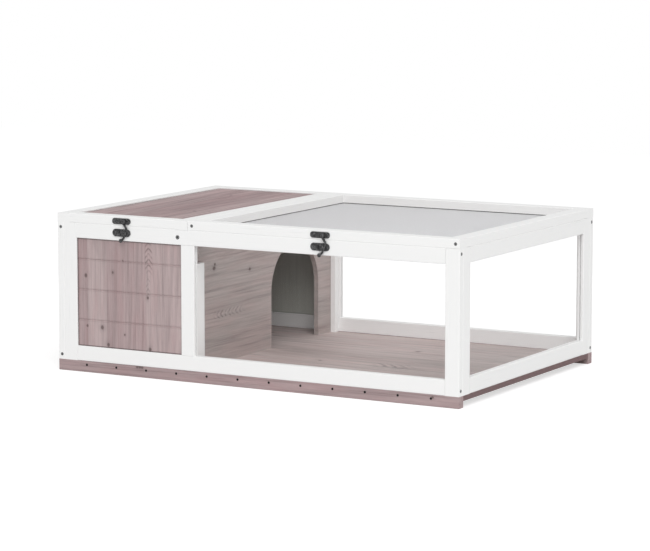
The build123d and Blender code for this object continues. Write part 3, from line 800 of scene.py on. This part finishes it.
skid_low, skid_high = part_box("front_skid")[0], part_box("rear_skid")[1]
nail_step = (skid_high.x - skid_low.x - nail_from_left - nail_from_right) / (nail_count - 1)
nails = bmesh.new()
for number in range(nail_count):
    x = skid_low.x + nail_from_left + number * nail_step
    stamp(nails, nail_mesh, (x, skid_low.y, nail_height), ahead)
    stamp(nails, nail_mesh, (x, skid_high.y, nail_height), behind)
finished("floor_nails", nails, nail_black_and_slot_shade, "house", ["skid_nails"])

# The latches
# A plate on the rail carries a hook on a rivet, and a keeper on the lid has the headed peg that it goes
# round. All are castings in textured black, a ball for the thumb on the hook and two screws a plate.
latch_black = (0.012, 0.012, 0.013, 1.0)
latch_grey = (0.120, 0.120, 0.122, 1.0)
latch_patches = (0.42, 0.66)
latch_roughness = (0.34, 0.55)
pit_scale = 280.0
pit_detail = 4.0
pit_fineness = 0.7
pit_depth = 0.0004
pit_strength = 0.8
plate_rounding = 0.0005
hook_rounding = 0.0011
rivet_rounding = 0.0004
sharp_above = math.radians(35)
flat_below = math.radians(1)
same_point = 1e-6
latch_screw_places = (-0.0145, 0.0165)
pan_proud = 0.0001
slot_half_size = Vector((0.0013, 0, 0.0044))
slot_depth = 0.0015
slot_shift = Vector((-0.0036, 0, -0.0004))
tail_radius = 0.0032
tail_ball_radius = 0.0041
tail_ball_depth = 0.0026
tail_ball_gap = 0.00015
tail_ball_segments = 20
tail_ball_rings = 12
frontward_normal = -0.99
downward, upward = (0, 0, -1), (0, 0, 1)
latch_material, tree, shader = new_material("textured_black")
pits = noise(tree, object_space(tree), pit_scale, pit_detail, pit_fineness)
feed(tree, shader["Base Color"], blended(tree, band(tree, pits, *latch_patches), latch_black, latch_grey))
feed(tree, shader["Roughness"], varied(tree, pits, *latch_roughness))
raise_surface(tree, shader, pits, pit_depth, pit_strength)


def softened(name, offset, rounds=2):
    """A copy of a node of the frame with its sharp edges rounded over."""
    shape = bmesh.new()
    shape.from_mesh(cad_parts[name].data)
    bmesh.ops.remove_doubles(shape, verts=shape.verts, dist=same_point)
    bmesh.ops.dissolve_limit(shape, angle_limit=flat_below, verts=shape.verts, edges=shape.edges)
    sharp = [edge for edge in shape.edges if edge.is_manifold and edge.calc_face_angle() > sharp_above]
    bmesh.ops.bevel(shape, geom=sharp, offset=offset, segments=rounds, profile=0.5, affect="EDGES",
                    clamp_overlap=True, material=-1)
    return shape


def sink_slot(shape, middle):
    """Sink an upright slot into a plate's front face, its floor in the shape's second material as painted
    shade.
    """
    shape.normal_update()
    faces = [face for face in shape.faces if face.normal.y < frontward_normal]
    for side in (leftward, rightward, downward, upward):
        outward = Vector(side)
        place = middle + slot_half_size * outward
        geom = faces + list({part for face in faces for part in [*face.edges, *face.verts]})
        cut = bmesh.ops.bisect_plane(shape, geom=geom, dist=same_point, plane_co=place, plane_no=outward)
        faces = [face for face in only(BMFace, cut["geom"])
                 if (face.calc_center_median() - place).dot(outward) < 0]
    sunk = bmesh.ops.extrude_face_region(shape, geom=faces)["geom"]
    bmesh.ops.translate(shape, vec=(0, slot_depth, 0), verts=only(BMVert, sunk))
    for face in only(BMFace, sunk):
        face.material_index = 1
    bmesh.ops.delete(shape, geom=faces, context="FACES_ONLY")


for lid in ("sleeping", "run"):
    plate_low, plate_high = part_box(lid + "_latch_plate")
    plate_middle = (plate_low + plate_high) / 2
    for what, part, body in (("latch_plate", "rail_plate", "house"), ("keeper", "lid_plate", lid + "_lid")):
        low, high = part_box(f"{lid}_{what}")
        shape = softened(f"{lid}_{what}", plate_rounding)
        if what == "latch_plate":
            sink_slot(shape, plate_middle + slot_shift)
        plate = finished(f"{lid}_{part}", shape, latch_material, body, [f"{lid}_{what}"])
        # The slot's floor takes the nails' near-black as painted shade.
        if what == "latch_plate":
            plate.data.materials.append(nail_black_and_slot_shade)
        heads = bmesh.new()
        for offset in latch_screw_places:
            place = (plate_middle.x + offset, plate_low.y - pan_proud, (low.z + high.z) / 2)
            stamp(heads, small_screw, place, ahead)
        finished(f"{lid}_{part}_screws", heads, latch_material, body)
    hook = softened(lid + "_hook", hook_rounding, rounds=3)
    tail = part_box(lid + "_hook")[0] + Vector((tail_radius, 0, tail_radius))
    tail.y = plate_low.y - tail_ball_gap - tail_ball_depth
    flattened = Matrix.Diagonal((1, tail_ball_depth / tail_ball_radius, 1, 1))
    bmesh.ops.create_uvsphere(hook, u_segments=tail_ball_segments, v_segments=tail_ball_rings,
                              radius=tail_ball_radius, matrix=Matrix.Translation(tail) @ flattened)
    finished(f"{lid}_cast_hook", hook, latch_material, lid + "_hook_body", [lid + "_hook"])
    finished(f"{lid}_rivet", softened(lid + "_hook_rivet", rivet_rounding), latch_material, "house",
             [lid + "_hook_rivet"])

# The hinges
# Two pressed butt hinges in the same black carry each lid at the back: two leaves with rolled
# knuckles on one pin, each leaf on three countersunk screws.
leaf_width = 0.040
leaf_thickness = 0.0015
leaf_rounding = 0.0003
leaf_screw_spread = 0.0135
leaf_screw_height = 0.0095
leaf_screw_turn = 1.215
hinge_middles = {}
for lid in ("sleeping", "run"):
    low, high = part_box(lid + "_hinge_lid_leaves")
    hinge_middles[lid] = [low.x + leaf_width / 2, high.x - leaf_width / 2]
pin_low, pin_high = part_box("hinge_pins")
hinge_line = (pin_low.z + pin_high.z) / 2
leaf_face = case_high.y + leaf_thickness
for name, body, middles, side in (
        ("hinge_frame_leaves", "house", hinge_middles["sleeping"] + hinge_middles["run"], -1),
        ("sleeping_hinge_lid_leaves", "sleeping_lid", hinge_middles["sleeping"], 1),
        ("run_hinge_lid_leaves", "run_lid", hinge_middles["run"], 1)):
    finished(name.replace("leaves", "leaf_pressings"), softened(name, leaf_rounding), latch_material, body,
             [name])
    heads = bmesh.new()
    for middle in middles:
        for step in (-1, 0, 1):
            place = (middle + step * leaf_screw_spread, leaf_face + pan_proud,
                     hinge_line + side * leaf_screw_height)
            stamp(heads, small_screw, place, behind, step * leaf_screw_turn)
    finished(name.replace("leaves", "leaf_screws"), heads, latch_material, body)
finished("hinge_pin_rods", softened("hinge_pins", leaf_rounding), latch_material, "house",
         ["hinge_pins"])

# The studio
# A plain pale floor and even soft light, as for a catalogue, with a white surround. What the camera
# sees of the floor and the surround, itself or through the windows, is whiter than their light.
camera_place = (2.8081, -4.9829, 0.9644)
camera_turn = 0.51399
camera_pitch = math.radians(-7.756)
camera_lens = 158.38
camera_reach = 200.0
floor_size = 9.0
floor_colour = (0.86, 0.86, 0.86, 1.0)
floor_seen = (0.50, 0.50, 0.50, 1.0)
floor_glow = 0.62
floor_roughness = 0.9
surround = 0.60
lamp_place = (4.0, -5.2, 7.5)
lamp_size = 7.5
lamp_power = 570.0


def seen(tree):
    """One where the camera looks, straight or through a window, and nought for all other light."""
    rays = node(tree, "ShaderNodeLightPath", {})
    return maths(tree, "MAXIMUM", rays["Is Camera Ray"], rays["Is Transmission Ray"])


camera_data = bpy.data.cameras.new("camera")
camera_data.lens = camera_lens
camera_data.clip_end = camera_reach
camera = bpy.data.objects.new("camera", camera_data)
camera.location = camera_place
camera.rotation_euler = (math.pi / 2 + camera_pitch, 0.0, camera_turn)
bpy.context.scene.collection.objects.link(camera)
bpy.context.scene.camera = camera

studio = bmesh.new()
bmesh.ops.create_grid(studio, x_segments=1, y_segments=1, size=floor_size / 2)
studio_mesh = mesh_of("studio_floor", studio)
studio_floor = bpy.data.objects.new("studio_floor", studio_mesh)
bpy.context.scene.collection.objects.link(studio_floor)
floor_material, tree, shader = new_material("studio_floor")
floor_view = seen(tree)
feed(tree, shader["Base Color"], blended(tree, floor_view, floor_colour, floor_seen))
shader["Roughness"].default_value = floor_roughness
shader["Emission Color"].default_value = white
feed(tree, shader["Emission Strength"], maths(tree, "MULTIPLY", floor_view, floor_glow))
studio_mesh.materials.append(floor_material)

world = bpy.data.worlds.new("surround")
world.use_nodes = True
bpy.context.scene.world = world
tree = world.node_tree
strength = node(tree, "ShaderNodeMapRange", {"Value": seen(tree), "To Min": surround, "To Max": 1.0})[0]
feed(tree, tree.nodes["Background"].inputs["Color"], white)
feed(tree, tree.nodes["Background"].inputs["Strength"], strength)

lamp_data = bpy.data.lights.new("high_front", "AREA")
lamp_data.size = lamp_size
lamp_data.energy = lamp_power
lamp = bpy.data.objects.new("high_front", lamp_data)
lamp.location = lamp_place
lamp.rotation_euler = Vector((0, 0, 1)).rotation_difference(Vector(lamp_place)).to_euler()
bpy.context.scene.collection.objects.link(lamp)

bpy.context.scene.view_settings.view_transform = "Standard"
